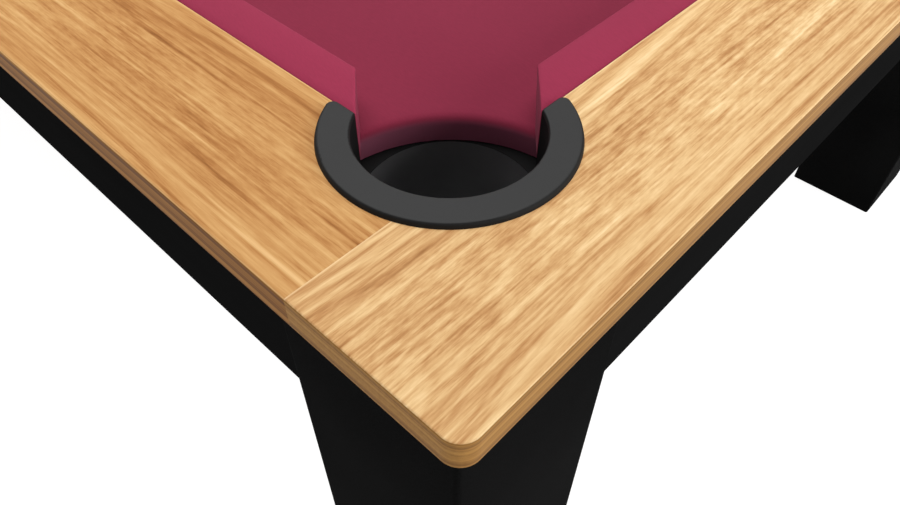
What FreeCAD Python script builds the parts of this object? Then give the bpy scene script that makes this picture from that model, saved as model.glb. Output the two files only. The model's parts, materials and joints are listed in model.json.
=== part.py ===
"""Pool table with flat hardwood top rails, drop pockets, a slate bed and four square legs.

X runs along the table, Y across it and Z up. The origin is on the floor, under the middle of the table.
The foot end is at +X, the head end at -X, the near side at -Y and the far side at +Y.
Most pieces are modelled in the quarter where X and Y are positive, and mirrored to the others.
All sizes are in millimetres.
"""

import FreeCAD, Part
import math
import os
import re
import Sketcher

DRIVING_SIZES = {
    # the playing field, measured between the noses of the cushions
    "play_length": 2240,
    "play_width": 1120,
    "table_height": 800,
    # top rails
    "rail_width": 124,
    "rail_thickness": 24,
    "rail_corner_radius": 13,
    "rail_roundover": 1.5,
    # cushions: depth from the wood to the nose, and how far each edge lies below the rail's top
    "cushion_depth": 38,
    "cushion_back": 9,
    "cushion_rake": 4,
    "cushion_back_drop": 0.8,
    "nose_drop": 2,
    "nose_thickness": 5,
    "nose_radius": 2.3,
    "cushion_foot": 18,
    "cushion_foot_gap": 1,
    # at each end of a cushion, a facing covers the end of its subrail
    "facing": 4,
    # subrails, which carry the cushions
    "subrail_setback": 8,
    "subrail_drop": 3,
    # bed
    "bed_drop": 38,
    "cloth_thickness": 1,
    "slate_thickness": 20,
    "slate_gap": 10,
    "slate_round": 6,
    # pockets
    "pocket_radius": 62,
    "corner_inset": 30,
    "corner_flare": 43,
    "side_flare": 5,
    "jaw_under": 6,
    "corner_slate_lip": 1.6,
    "side_slate_lip": 2,
    "side_cut_margin": 23,
    "bore_gap": 0.5,
    # pocket rings, which lie on the rails
    "ring_overhang": 0.3,
    "ring_width": 22,
    "ring_thickness": 3.5,
    "ring_slope": 1,
    "ring_edge_radius": 2.4,
    "ring_inner_radius": 1.2,
    "ring_end_radius": 5,
    # pocket cups
    "cup_wall": 2.5,
    "cup_lift": 10,
    "cup_to_apron": 3.2,
    "cup_to_beam": 5.2,
    "cup_floor": 3,
    "cup_taper": 6,
    "cup_rim_gap": 1,
    "cup_bottom_radius": 14,
    # aprons
    "apron_thickness": 18,
    "apron_height": 149,
    "apron_recess": 2,
    # legs
    "leg_setback": 24,
    "leg_width": 160,
    "leg_wall": 5,
    "leg_corner_radius": 4,
    "leg_plate": 6,
    "leg_plate_hole": 22,
    "leg_base": 10,
    "leg_nut_plate": 12,
    "leg_base_gap": 10,
    # wooden frame under the slate
    "beam_height": 111,
    "beam_to_apron": 2,
    "long_beam_width": 40,
    "cross_beam_width": 80,
    # levelling feet
    "pad_radius": 26,
    "pad_thickness": 8,
    "pad_recess": 1,
    "pad_gap": 3,
    "pad_boss_radius": 13,
    "pad_rim_height": 5,
    "pad_chamfer": 1,
    "socket_depth": 4,
    "socket_gap": 0.2,
    "stud_radius": 6,
    "stud_length": 70,
    "stud_foot_radius": 7,
    "stud_shoulder": 1,
    "stud_chamfer": 2,
    "collar_radius": 9.8,
    "collar_height": 6,
    "running_gap": 0.05,
    # rail bolts
    "bolt_radius": 4,
    "washer_gap": 6,
    "bolt_depth": 12,
    "bolt_end_gap": 1,
    "bolt_clearance": 2,
    "washer_radius": 12,
    "washer_thickness": 2,
    "bolt_head_radius": 7.5,
    "bolt_head_height": 5,
    # slate screws
    "screw_radius": 3,
    "screw_head_radius": 7,
    "screw_head_height": 5,
    "screw_length": 60,
    "screw_edge": 80,
    # leg bolts
    "leg_bolt_radius": 5,
    "leg_bolt_inset": 40,
    "leg_bolt_pitch": 90,
    "leg_bolt_head_radius": 9,
    "leg_bolt_head_height": 7,
    "leg_bolt_end": 8,
    "counterbore_radius": 14,
    "counterbore_depth": 10,
    # pocket screws
    "pin_radius": 2,
    "pin_length": 16,
    "pin_end_gap": 2,
    "pin_head_radius": 4,
    "pin_head_taper": 1,
    "pin_head_height": 1.6,
    "pin_seat_gap": 0.2,
    "pin_drop": 12,
    "pin_spread": 50,
    "side_pin_spread": 45,
}

# Places that follow from the driving sizes
PLACES = {
    "wood_x": "play_length / 2 + cushion_depth",
    "wood_y": "play_width / 2 + cushion_depth",
    "edge_x": "wood_x + rail_width",
    "edge_y": "wood_y + rail_width",
    "underside": "table_height - rail_thickness",
    "cloth_top": "table_height - bed_drop",
    "slate_top": "cloth_top - cloth_thickness",
    "slate_bottom": "slate_top - slate_thickness",
    "apron_inset": "rail_width - leg_setback - apron_recess - apron_thickness",
    "slate_overhang": "apron_inset - slate_gap",
    "subrail_depth": "slate_overhang - subrail_setback",
    "slate_x": "wood_x + slate_overhang",
    "slate_y": "wood_y + slate_overhang",
    "slate_joint": "slate_x / 3",
    "beam_bottom": "slate_bottom - beam_height",
    "cup_radius": "pocket_radius + ring_overhang",
    "cup_outside": "cup_radius + cup_wall",
    "flange_radius": "pocket_radius + ring_width",
    "cup_rim": "slate_bottom - cup_rim_gap",
    "bore_radius": "cup_outside + bore_gap",
    "corner_x": "wood_x - corner_inset",
    "corner_y": "wood_y - corner_inset",
    "side_outset": "apron_inset - cup_to_apron - cup_outside",
    "side_y": "wood_y + side_outset",
    "beam_inset": "cup_outside - corner_inset + cup_to_beam",
    "bolt_inset": "beam_inset - washer_gap - washer_radius",
    "cup_bottom": "beam_bottom + cup_lift",
    "corner_mouth": "corner_inset + sqrt(pocket_radius ^ 2 - corner_inset ^ 2)",
    "side_mouth": "sqrt(pocket_radius ^ 2 - side_outset ^ 2)",
    "corner_cut": "corner_inset * sqrt(2) + pocket_radius + corner_slate_lip",
    "side_cut": "pocket_radius + side_cut_margin",
    "side_cut_y": "wood_y - cushion_depth - side_slate_lip + side_cut",
    "leg_x": "edge_x - leg_setback",
    "leg_y": "edge_y - leg_setback",
    "leg_centre_x": "leg_x - leg_width / 2",
    "leg_centre_y": "leg_y - leg_width / 2",
    "nut_plate_z": "leg_base + leg_base_gap",
    "apron_x": "leg_x - apron_recess",
    "apron_y": "leg_y - apron_recess",
    "end_beam_x": "wood_x + apron_inset - beam_to_apron",
    "end_beam_inside": "wood_x + beam_inset",
    "end_beam_y": "leg_y - leg_wall",
    "long_beam_y": "corner_y - flange_radius - cup_to_beam",
    "leg_bolt_x": "(end_beam_x + end_beam_inside) / 2",
    "pin_z": "table_height - pin_drop",
}

ABOVE = 40  # how far cutting shapes stand out past what they cut
THROUGH = 1  # the same where there is little room


def formula(text):
    """Write a formula of plain size names as an expression on the sheet's cells."""

    def cell(match):
        word = match.group(0)
        if word in PLACES:
            return "(" + formula(PLACES[word]) + ")"
        if word in DRIVING_SIZES:
            return "Sizes." + word
        return word

    return re.sub(r"[a-z_]+", cell, str(text))


def value(text):
    """The number that a formula gives now."""
    return float(sheet.evalExpression(formula(text)))


def make_sheet():
    """Put every driving size in a spreadsheet cell that has the size's name as its alias."""
    cells = doc.addObject("Spreadsheet::Sheet", "Sizes")
    for row, (name, number) in enumerate(DRIVING_SIZES.items(), start=1):
        cells.set(f"A{row}", name)
        cells.set(f"B{row}", str(number))
        cells.setAlias(f"B{row}", name)
    doc.recompute()
    return cells


doc = FreeCAD.newDocument("PoolTable")
sheet = make_sheet()
sub_parts = {}


def bind(piece, **formulas):
    """Tie properties of a document object to formulas."""
    for prop, text in formulas.items():
        piece.setExpression(prop.replace("__", "."), formula(text))


def place(piece, x="0", y="0", z="0"):
    """Tie a document object's position to formulas."""
    bind(piece, Placement__Base__x=x, Placement__Base__y=y, Placement__Base__z=z)
    return piece


def block(name, x, y, z):
    """A box between two formulas on each axis."""
    piece = doc.addObject("Part::Box", name)
    length, width, height = (f"({end}) - ({start})" for start, end in (x, y, z))
    bind(piece, Length=length, Width=width, Height=height)
    return place(piece, x[0], y[0], z[0])


def rod(name, x, y, z, radius, height):
    """An upright cylinder that starts at a point."""
    piece = doc.addObject("Part::Cylinder", name)
    bind(piece, Radius=radius, Height=height)
    return place(piece, x, y, z)


def fuse(name, pieces):
    """Join overlapping shapes."""
    piece = doc.addObject("Part::MultiFuse", name)
    piece.Shapes = pieces
    return piece


def group(name, pieces):
    """Hold separate solids as one piece."""
    piece = doc.addObject("Part::Compound", name)
    piece.Links = pieces
    return piece


def cut(name, base, tools):
    """Take shapes away from a piece."""
    piece = doc.addObject("Part::Cut", name)
    piece.Base = base
    piece.Tool = tools[0] if len(tools) == 1 else group(name + "_tools", tools)
    return piece


def mirror(name, source, axis):
    """A mirror image across the plane through the origin that is square to an axis."""
    piece = doc.addObject("Part::Mirroring", name)
    piece.Source = source
    piece.Normal = axis
    return piece


ACROSS_X = FreeCAD.Vector(1, 0, 0)
ACROSS_Y = FreeCAD.Vector(0, 1, 0)


def keep(piece, label):
    """Record a document object as the sub-part with this name."""
    piece.Label = label
    sub_parts[label] = piece
    return piece


def keep_both(piece, kind, first, second, axis):
    """Keep a piece and its mirror image."""
    keep(piece, f"{kind}_{first}")
    return keep(mirror(f"{kind}_{second}", piece, axis), f"{kind}_{second}")


def keep_four(piece, kind, ends_first=True):
    """Keep a piece of the foot-far quarter and its three mirror images."""
    near = mirror(f"{kind}_near_half", piece, ACROSS_Y)
    quarters = {("foot", "far"): piece, ("foot", "near"): near}
    quarters["head", "far"] = mirror(f"{kind}_head_far_image", piece, ACROSS_X)
    quarters["head", "near"] = mirror(f"{kind}_head_near_image", near, ACROSS_X)
    for (end, side), image in quarters.items():
        words = (end, side) if ends_first else (side, end)
        keep(image, "_".join((kind,) + words))


def four_quarters(name, pieces):
    """Hold the pieces of one quarter and their mirror images as one group."""
    quarter = group(name + "_quarter", pieces)
    half = group(name + "_half", [quarter, mirror(name + "_near", quarter, ACROSS_Y)])
    return group(name, [half, mirror(name + "_head", half, ACROSS_X)])


# Sketched pieces


def origin_feature(body, role):
    """One of a body's own origin planes or axes."""
    return next(item for item in body.Origin.OriginFeatures if item.Role == role)


def add_sketch(body, name, role, level="0"):
    """A sketch on one of the body's origin planes, moved along the plane's normal."""
    sketch = body.newObject("Sketcher::SketchObject", name)
    sketch.AttachmentSupport = (origin_feature(body, role), [""])
    sketch.MapMode = "FlatFace"
    bind(sketch, AttachmentOffset__Base__z=level)
    return sketch


def pin_vertex(sketch, line, across, up):
    """Hold the start of a sketch line at two formulas."""
    origin, start = (-1, 1), (line, 1)
    for kind, axis, text in (("DistanceX", -2, across), ("DistanceY", -1, up)):
        number = value(text)
        if abs(number) < 1e-9:
            sketch.addConstraint(Sketcher.Constraint("PointOnObject", line, 1, axis))
            continue
        ends = origin + start if number > 0 else start + origin
        signed = text if number > 0 else f"-({text})"
        index = sketch.addConstraint(Sketcher.Constraint(kind, *ends, abs(number)))
        sketch.setExpression(f"Constraints[{index}]", formula(signed))


def draw_outline(sketch, points):
    """A closed outline of straight lines through points that are given as formulas."""
    numbers = [FreeCAD.Vector(value(across), value(up), 0) for across, up in points]
    for start, end in zip(numbers, numbers[1:] + numbers[:1]):
        sketch.addGeometry(Part.LineSegment(start, end), False)
    for line in range(len(points)):
        following = (line + 1) % len(points)
        sketch.addConstraint(Sketcher.Constraint("Coincident", line, 2, following, 1))
    for line, (across, up) in enumerate(points):
        pin_vertex(sketch, line, across, up)


def prism(name, role, points, level, height, backwards=False):
    """A body padded from an outline."""
    body = doc.addObject("PartDesign::Body", name)
    sketch = add_sketch(body, name + "_outline", role, level)
    draw_outline(sketch, points)
    pad = body.newObject("PartDesign::Pad", name + "_pad")
    pad.Profile = sketch
    pad.Reversed = backwards
    bind(pad, Length=height)
    doc.recompute()
    return body


def turned(name, points):
    """A body of revolution about its own Z axis, from an outline of radius and height."""
    body = doc.addObject("PartDesign::Body", name)
    sketch = add_sketch(body, name + "_section", "XZ_Plane")
    draw_outline(sketch, points)
    turn = body.newObject("PartDesign::Revolution", name + "_turn")
    turn.Profile = sketch
    turn.ReferenceAxis = (sketch, ["V_Axis"])
    turn.Angle = 360
    doc.recompute()
    return body


def trim(body, name, points, level, depth):
    """Pocket an outline downward from a level into a body."""
    before = body.Shape.Volume
    sketch = add_sketch(body, name + "_outline", "XY_Plane", level)
    draw_outline(sketch, points)
    pocket = body.newObject("PartDesign::Pocket", name)
    pocket.Profile = sketch
    bind(pocket, Length=depth)
    doc.recompute()
    if body.Shape.Volume > before - 1:
        raise RuntimeError(name + " took nothing away")


def round_edges(body, name, radius, wanted):
    """Fillet the edges of a body whose two ends pass a test."""
    base = body.Tip
    found = []
    for index, edge in enumerate(base.Shape.Edges, start=1):
        ends = [vertex.Point for vertex in edge.Vertexes]
        if wanted(edge, ends):
            found.append(f"Edge{index}")
    if not found:
        raise RuntimeError(name + " found no edge")
    fillet = body.newObject("PartDesign::Fillet", name)
    fillet.Base = (base, found)
    bind(fillet, Radius=radius)
    doc.recompute()


def near_to(number, text):
    """Whether a coordinate is at the place that a formula gives."""
    return abs(number - value(text)) < 0.01


def circle_radius(edge):
    """The radius of a round edge, and 0 for any other edge."""
    return getattr(edge.Curve, "Radius", 0)


def line_on(line_axis, plane_axis, text):
    """A test for edges that run along one axis and lie on a plane across another."""

    def wanted(edge, ends):
        start, end = (getattr(point, line_axis) for point in (ends[0], ends[-1]))
        on_plane = all(near_to(getattr(point, plane_axis), text) for point in ends)
        return on_plane and abs(start - end) > 1

    return wanted


def circle_at(level):
    """A test for round edges at one height."""
    return lambda edge, ends: near_to(ends[0].z, level) and circle_radius(edge) > 0


# Shapes that are cut out of several pieces


def pocket_bore(name, x, y):
    """The hole through rail and subrail that a cup's wall stands in."""
    return rod(name, x, y, "beam_bottom", "bore_radius", f"table_height - beam_bottom + {ABOVE}")


def jaw_shape(mouth, flare):
    """Outline of what a cushion's slanted end leaves open, as places along the rail and out from it."""
    under, over = "-jaw_under", f"cushion_depth + {ABOVE}"
    start, end = (f"{mouth} + ({depth}) * {flare} / cushion_depth" for depth in (under, over))
    return [(start, under), (end, over), (f"-{ABOVE}", over), (f"-{ABOVE}", under)]


def jaw(name, points):
    """An upright solid on a jaw's outline, from the slate's underside to above the rails."""
    height = f"table_height - slate_bottom + {ABOVE}"
    return prism(name, "XY_Plane", points, "slate_bottom", height)


def jaws(setback):
    """The jaws at a side rail's corner end, at an end rail's corner end and at a side pocket."""
    corner = jaw_shape(f"corner_mouth + {setback}", "corner_flare")
    side = jaw_shape(f"side_mouth + {setback}", "side_flare")
    on_side_rail = [(f"wood_x - ({along})", f"wood_y - ({out})") for along, out in corner]
    on_end_rail = [(f"wood_x - ({out})", f"wood_y - ({along})") for along, out in corner]
    at_side = [(along, f"wood_y - ({out})") for along, out in side]
    return (
        jaw(f"side_rail_jaw_{setback}", on_side_rail),
        jaw(f"end_rail_jaw_{setback}", on_end_rail),
        jaw(f"side_pocket_jaw_{setback}", at_side),
    )


def end_bolt_places():
    """Where the bolts of an end rail stand, on the far half of the table and on its middle line."""
    return [("wood_x + bolt_inset", "0"), ("wood_x + bolt_inset", "play_width / 3")]


def side_bolt_places():
    """Where the bolts of a side rail stand."""
    return [(f"play_length * {share} / 8", "wood_y + bolt_inset") for share in (1, 2, 3)]


def bolt_holes(name, places, radius):
    """Upright holes from under the slate to the depth that a rail bolt reaches in the rail."""
    low = f"slate_bottom - {ABOVE}"
    height = f"underside + bolt_depth + bolt_end_gap - ({low})"
    return [
        rod(f"{name}_{number}", x, y, low, radius, height)
        for number, (x, y) in enumerate(places, start=1)
    ]


def pin_directions(corner):
    """The compass directions, in degrees from +X, of the screws in one pocket."""
    if corner:
        return ["45", "45 + pin_spread", "45 - pin_spread"]
    return ["90 - side_pin_spread", "90 + side_pin_spread"]


def radial(name, kind, corner, direction, start, **sizes):
    """A cylinder or cone that points outward from a pocket's axis."""
    piece = doc.addObject(kind, name)
    bind(piece, **sizes)
    centre = ("corner_x", "corner_y") if corner else ("0", "side_y")
    piece.Placement.Rotation = FreeCAD.Rotation(FreeCAD.Vector(0, 0, 1), FreeCAD.Vector(1, 0, 0))
    x = f"{centre[0]} + ({start}) * cos({direction})"
    y = f"{centre[1]} + ({start}) * sin({direction})"
    place(piece, x, y, "pin_z")
    angle = value(direction)
    outward = FreeCAD.Rotation(FreeCAD.Vector(0, 0, 1), angle)
    piece.Placement.Rotation = outward.multiply(piece.Placement.Rotation)
    return piece


def pilot_holes(name, corner):
    """The holes that a pocket's screws stand in, through cup and rail."""
    return [
        radial(
            f"{name}_{number}", "Part::Cylinder", corner, direction, "cup_radius - pin_head_radius",
            Radius="pin_radius + running_gap", Height="pin_head_radius + pin_length + pin_end_gap",
        )
        for number, direction in enumerate(pin_directions(corner), start=1)
    ]


def bed_opening(name, x, y, radius, shrink):
    """A round shaft, and above it a flare that leaves the bed's edge rounded over."""
    low, level, high = f"slate_bottom - {ABOVE}", "slate_top - slate_round", "table_height"
    shaft = rod(name + "_shaft", x, y, low, f"{radius} - ({shrink})", f"{level} - ({low})")
    wide = rod(name + "_wide", x, y, level, f"{radius} + slate_round", f"{high} - ({level})")
    shoulder = doc.addObject("Part::Torus", name + "_shoulder")
    bind(shoulder, Radius1=f"{radius} + slate_round", Radius2=f"slate_round + {shrink}")
    place(shoulder, x, y, level)
    return [shaft, cut(name + "_flare", wide, [shoulder])]


def pocket_cuts(shrink):
    """The openings for all six pockets in the bed, smaller all round by a formula."""
    beyond = block(
        f"corner_beyond_{shrink}",
        ("wood_x", f"slate_x + {ABOVE}"), ("wood_y", f"slate_y + {ABOVE}"),
        (f"slate_bottom - {ABOVE}", "table_height"),
    )
    corner = bed_opening(f"corner_cut_{shrink}", "wood_x", "wood_y", "corner_cut", shrink)
    side = bed_opening(f"side_cut_{shrink}", "0", "side_cut_y", "side_cut", shrink)
    openings = [fuse(f"corner_opening_{shrink}", [*corner, beyond])]
    openings.append(fuse(f"side_opening_{shrink}", side))
    return four_quarters(f"pocket_cuts_{shrink}", openings)


# The sub-parts


def make_top_rails():
    """Six hardwood boards: an end board runs through to the corners and the side boards butt against it."""
    end = prism(
        "end_board", "XY_Plane",
        [("wood_x", "-(edge_y)"), ("edge_x", "-(edge_y)"), ("edge_x", "edge_y"), ("wood_x", "edge_y")],
        "underside", "rail_thickness",
    )
    round_edges(end, "end_board_corners", "rail_corner_radius", line_on("z", "x", "edge_x"))
    round_edges(end, "end_board_roundover", "rail_roundover", is_outer_end_edge)
    near_bore = mirror("near_corner_bore", bores["corner"], ACROSS_Y)
    holes = bolt_holes("end_board_hole", end_bolt_places(), "bolt_radius + running_gap")
    near_hole = mirror("end_board_hole_near", holes[1], ACROSS_Y)
    pilots = group("corner_pilots_end", pilot_holes("corner_pilot_end", True))
    near_pilots = mirror("corner_pilots_end_near", pilots, ACROSS_Y)
    end_rail = cut("end_rail", end, [bores["corner"], near_bore, *holes, near_hole, pilots, near_pilots])
    keep_both(end_rail, "top_rail", "foot", "head", ACROSS_X)

    side = prism(
        "side_board", "XY_Plane",
        [("0", "wood_y"), ("wood_x", "wood_y"), ("wood_x", "edge_y"), ("0", "edge_y")],
        "underside", "rail_thickness",
    )
    round_edges(side, "side_board_roundover", "rail_roundover", line_on("x", "y", "edge_y"))
    holes = bolt_holes("side_board_hole", side_bolt_places(), "bolt_radius + running_gap")
    pilots = pilot_holes("corner_pilot_side", True) + pilot_holes("side_pilot", False)
    side_rail = cut("side_rail", side, [bores["corner"], bores["side"], *holes, *pilots])
    keep_four(side_rail, "top_rail", ends_first=False)


def is_outer_end_edge(edge, ends):
    """The top and bottom edges on the outside of an end board, its rounded corners included."""
    flat = abs(ends[0].z - ends[1].z) < 0.01
    inside = all(near_to(p.x, "wood_x") for p in ends)
    return flat and not inside


def subrail_section(edge):
    """Section of a subrail: a base on the slate under the rail, and a block that backs the cushion."""
    points = [
        ("-subrail_depth", "cloth_top"),
        ("cushion_back + cushion_rake", "cloth_top"),
        ("cushion_back", "table_height - subrail_drop"),
        ("0", "table_height - subrail_drop"),
        ("0", "underside"),
        ("-subrail_depth", "underside"),
    ]
    return [(f"{edge} - ({depth})", height) for depth, height in points]


def facing_section(edge):
    """Section of the block that a cushion's facings are left of when the subrail is taken out of it."""
    points = [
        ("0", "cloth_top + cushion_foot_gap"),
        ("cushion_back + cushion_rake", "cloth_top + cushion_foot_gap"),
        ("cushion_back + cushion_rake", "table_height - subrail_drop"),
        ("0", "table_height - subrail_drop"),
    ]
    return [(f"{edge} - ({depth})", height) for depth, height in points]


def cushion_section(edge):
    """A cushion's section: a raked back, a nose a little below the rail's top, and an undercut foot."""
    points = [
        ("cushion_back + cushion_rake", "cloth_top + cushion_foot_gap"),
        ("cushion_foot", "cloth_top + cushion_foot_gap"),
        ("cushion_depth", "table_height - nose_drop - nose_thickness"),
        ("cushion_depth", "table_height - nose_drop"),
        ("cushion_back", "table_height - cushion_back_drop"),
    ]
    return [(f"{edge} - ({depth})", height) for depth, height in points]


def side_length(name, section):
    """A section run along a side rail, from the side pocket's mouth to the corner's."""
    return prism(name, "YZ_Plane", section("wood_y"), "side_mouth", "wood_x - corner_mouth - side_mouth")


def end_length(name, section):
    """A section run along an end rail, from one corner's mouth to the other's."""
    half = "(wood_y - corner_mouth)"
    return prism(name, "XZ_Plane", section("wood_x"), f"-{half}", f"2 * {half}")


def make_subrails_and_cushions():
    """A softwood subrail and a cloth-covered rubber cushion for each of the six rails."""
    jaw_side, jaw_end, jaw_pocket = jaws("0")
    back_side, back_end, back_pocket = jaws("facing")
    jaws_end = [jaw_end, mirror("end_rail_jaw_near", jaw_end, ACROSS_Y)]
    backs_end = [back_end, mirror("end_rail_jaw_back_near", back_end, ACROSS_Y)]

    whole = side_length("side_subrail_blank", subrail_section)
    whole = cut("side_subrail_whole", whole, [back_side, back_pocket])
    holes = bolt_holes("side_subrail_hole", side_bolt_places(), "bolt_radius + running_gap")
    piece = cut("side_subrail", whole, [bores["corner"], bores["side"], *holes])
    keep_four(piece, "subrail", ends_first=False)

    rubber = side_length("side_cushion_blank", cushion_section)
    round_edges(rubber, "side_nose", "nose_radius", line_on("x", "y", "wood_y - cushion_depth"))
    blank = fuse("side_cushion_whole", [rubber, side_length("side_facings", facing_section)])
    piece = cut("side_cushion", cut("side_cushion_backed", blank, [whole]), [jaw_side, jaw_pocket])
    keep_four(piece, "cushion", ends_first=False)

    whole = end_length("end_subrail_blank", subrail_section)
    whole = cut("end_subrail_whole", whole, backs_end)
    near_bore = mirror("near_corner_bore_subrail", bores["corner"], ACROSS_Y)
    holes = bolt_holes("end_subrail_hole", end_bolt_places(), "bolt_radius + running_gap")
    near_hole = mirror("end_subrail_hole_near", holes[1], ACROSS_Y)
    piece = cut("end_subrail", whole, [bores["corner"], near_bore, *holes, near_hole])
    keep_both(piece, "subrail", "foot", "head", ACROSS_X)

    rubber = end_length("end_cushion_blank", cushion_section)
    round_edges(rubber, "end_nose", "nose_radius", line_on("y", "x", "wood_x - cushion_depth"))
    blank = fuse("end_cushion_whole", [rubber, end_length("end_facings", facing_section)])
    piece = cut("end_cushion", cut("end_cushion_backed", blank, [whole]), jaws_end)
    keep_both(piece, "cushion", "foot", "head", ACROSS_X)


def rail_bolt_holes_in_bed(name):
    """Clearance holes for all the rail bolts, through slate and cloth."""
    places = end_bolt_places() + side_bolt_places()
    return four_quarters(name, bolt_holes(name + "_hole", places, "bolt_radius + bolt_clearance"))


def slate_screw_places(piece):
    """Where the screws of an outer or the middle slate stand."""
    y = "long_beam_y - long_beam_width / 2"
    if piece == "middle":
        return [("slate_joint - screw_edge", y)]
    return [("slate_joint + screw_edge", y), ("slate_x - screw_edge", y)]


def screw_shape(name, x, y, gap):
    """A countersunk screw with its head flush with the slate's top, or with a gap, the hole for it."""
    thin, wide = f"screw_radius + {gap}", f"screw_head_radius + {gap}"
    head = doc.addObject("Part::Cone", name + "_head")
    bind(head, Radius1=thin, Radius2=wide, Height="screw_head_height")
    place(head, x, y, "slate_top - screw_head_height")
    height = "screw_length - screw_head_height / 2"
    shank = rod(name + "_shank", x, y, "slate_top - screw_length", thin, height)
    return fuse(name, [head, shank])


def screw_set(name, gap):
    """All the slate screws, or their holes."""
    places = slate_screw_places("middle") + slate_screw_places("outer")
    screws = [screw_shape(f"{name}_{n}", x, y, gap) for n, (x, y) in enumerate(places)]
    return four_quarters(name, screws)


def make_bed():
    """Three slates side by side, and one cloth over all of them that turns down into the pockets."""
    cuts = pocket_cuts("0")
    bolt_clearances = rail_bolt_holes_in_bed("slate_bolt_clearances")
    level = ("slate_bottom", "slate_top")
    across = ("-(slate_y)", "slate_y")
    outer = block("outer_slate_blank", ("slate_joint", "slate_x"), across, level)
    drilled = cut("outer_slate", outer, [cuts, bolt_clearances, screw_holes])
    keep_both(drilled, "slate", "foot", "head", ACROSS_X)
    middle = block("middle_slate_blank", ("-(slate_joint)", "slate_joint"), across, level)
    keep(cut("middle_slate", middle, [cuts, bolt_clearances, screw_holes]), "slate_middle")

    whole = block("cloth_blank", ("-(slate_x)", "slate_x"), across, ("slate_bottom", "cloth_top"))
    under = block(
        "under_cloth_blank",
        (f"-(slate_x + {ABOVE})", f"slate_x + {ABOVE}"), (f"-(slate_y + {ABOVE})", f"slate_y + {ABOVE}"),
        (f"slate_bottom - {ABOVE}", "slate_top"),
    )
    under_cloth = cut("under_cloth", under, [cuts])
    inner_cuts = pocket_cuts("cloth_thickness")
    keep(cut("cloth", whole, [under_cloth, inner_cuts, bolt_clearances]), "bed_cloth")


def ring_section():
    """Section of a pocket ring, from its inner edge to its sloped outer edge."""
    outside = "pocket_radius + ring_width"
    return [
        ("pocket_radius", "0"),
        (outside, "0"),
        (f"{outside} - ring_slope", "ring_thickness"),
        ("pocket_radius", "ring_thickness"),
    ]


def front_of_pocket(ends, line):
    """Outline of the part of a pocket that faces the playing field, up to the wood's inner lines."""
    reach = f"-(flange_radius + {ABOVE})"
    return [(ends, line), (reach, line), (reach, reach), (ends, reach)]


def make_ring(name, front):
    """A C-shaped ring: turned, cut off along the wood's inner line, with its ends and arrises rounded."""
    body = turned(name, ring_section())
    trim(body, name + "_opening", front, f"ring_thickness + {ABOVE}", f"ring_thickness + {2 * ABOVE}")
    middle = value("pocket_radius + ring_width / 2")

    def outer_end_corner(edge, ends):
        upright = abs(ends[0].z - ends[-1].z) > 1
        return upright and all(math.hypot(point.x, point.y) > middle for point in ends)

    def outer_arris(edge, ends):
        on_top = all(near_to(point.z, "ring_thickness") for point in ends)
        return on_top and all(math.hypot(point.x, point.y) > middle for point in ends)

    def inner_arris(edge, ends):
        on_top = all(near_to(point.z, "ring_thickness") for point in ends)
        return on_top and near_to(circle_radius(edge), "pocket_radius")

    round_edges(body, name + "_end_corners", "ring_end_radius", outer_end_corner)
    round_edges(body, name + "_outer_arris", "ring_edge_radius", outer_arris)
    round_edges(body, name + "_inner_arris", "ring_inner_radius", inner_arris)
    return body


def cup_section():
    """Section of a pocket cup: a straight liner above the slate's underside and a tapered cup below it."""
    top = "table_height - cup_bottom"
    rim = "cup_rim - (cup_bottom)"
    return [
        ("0", "0"),
        ("cup_outside - cup_taper", "0"),
        ("cup_outside", rim),
        ("cup_outside", top),
        ("cup_radius", top),
        ("cup_radius", rim),
        ("cup_radius - cup_taper", "cup_floor"),
        ("0", "cup_floor"),
    ]


def make_cup(name, front):
    """A moulded cup whose wall reaches the ring behind the pocket and stops under the slate in front."""
    body = turned(name, cup_section())
    top = f"table_height - cup_bottom + {ABOVE}"
    trim(body, name + "_opening", front, top, f"{top} - (cup_rim - (cup_bottom))")
    round_edges(body, name + "_floor_outside", "cup_bottom_radius", circle_at("0"))
    round_edges(body, name + "_floor_inside", "cup_bottom_radius - cup_wall", circle_at("cup_floor"))
    return body


def make_flange(name, x, y, beyond_x):
    """A rim under the slate, round the part of a cup that faces the playing field."""
    low = "cup_rim - cup_wall"
    disc = rod(name + "_disc", x, y, low, "flange_radius", "cup_wall")
    inside = rod(name + "_inside", x, y, f"{low} - {ABOVE}", "cup_radius", f"cup_wall + {2 * ABOVE}")
    wide = ("-(edge_x)", "edge_x")
    level = (f"{low} - {ABOVE}", f"cup_rim + {ABOVE}")
    under_rails = [block(name + "_under_side_rail", wide, ("wood_y", "edge_y"), level)]
    if beyond_x:
        under_rails.append(block(name + "_under_end_rail", ("wood_x", "edge_x"), ("0", "edge_y"), level))
    return cut(name, disc, [fuse(name + "_trim", [inside, *under_rails])])


def make_pockets():
    """A ring and a cup for each of the four corner pockets and the two side pockets."""
    front = front_of_pocket("corner_inset", "corner_inset")
    ring = place(make_ring("corner_ring", front), "corner_x", "corner_y", "table_height")
    keep_four(ring, "pocket_ring")
    cup = place(make_cup("corner_cup", front), "corner_x", "corner_y", "cup_bottom")
    flanged = fuse("corner_cup_flanged", [cup, make_flange("corner_flange", "corner_x", "corner_y", True)])
    keep_four(cut("corner_cup_drilled", flanged, pilot_holes("corner_cup_pilot", True)), "pocket_cup")

    front = front_of_pocket(f"flange_radius + {ABOVE}", "-side_outset")
    ring = place(make_ring("side_ring", front), "0", "side_y", "table_height")
    keep_both(ring, "pocket_ring", "side_far", "side_near", ACROSS_Y)
    cup = place(make_cup("side_cup", front), "0", "side_y", "cup_bottom")
    flanged = fuse("side_cup_flanged", [cup, make_flange("side_flange", "0", "side_y", False)])
    drilled = cut("side_cup_drilled", flanged, pilot_holes("side_cup_pilot", False))
    keep_both(drilled, "pocket_cup", "side_far", "side_near", ACROSS_Y)


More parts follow.
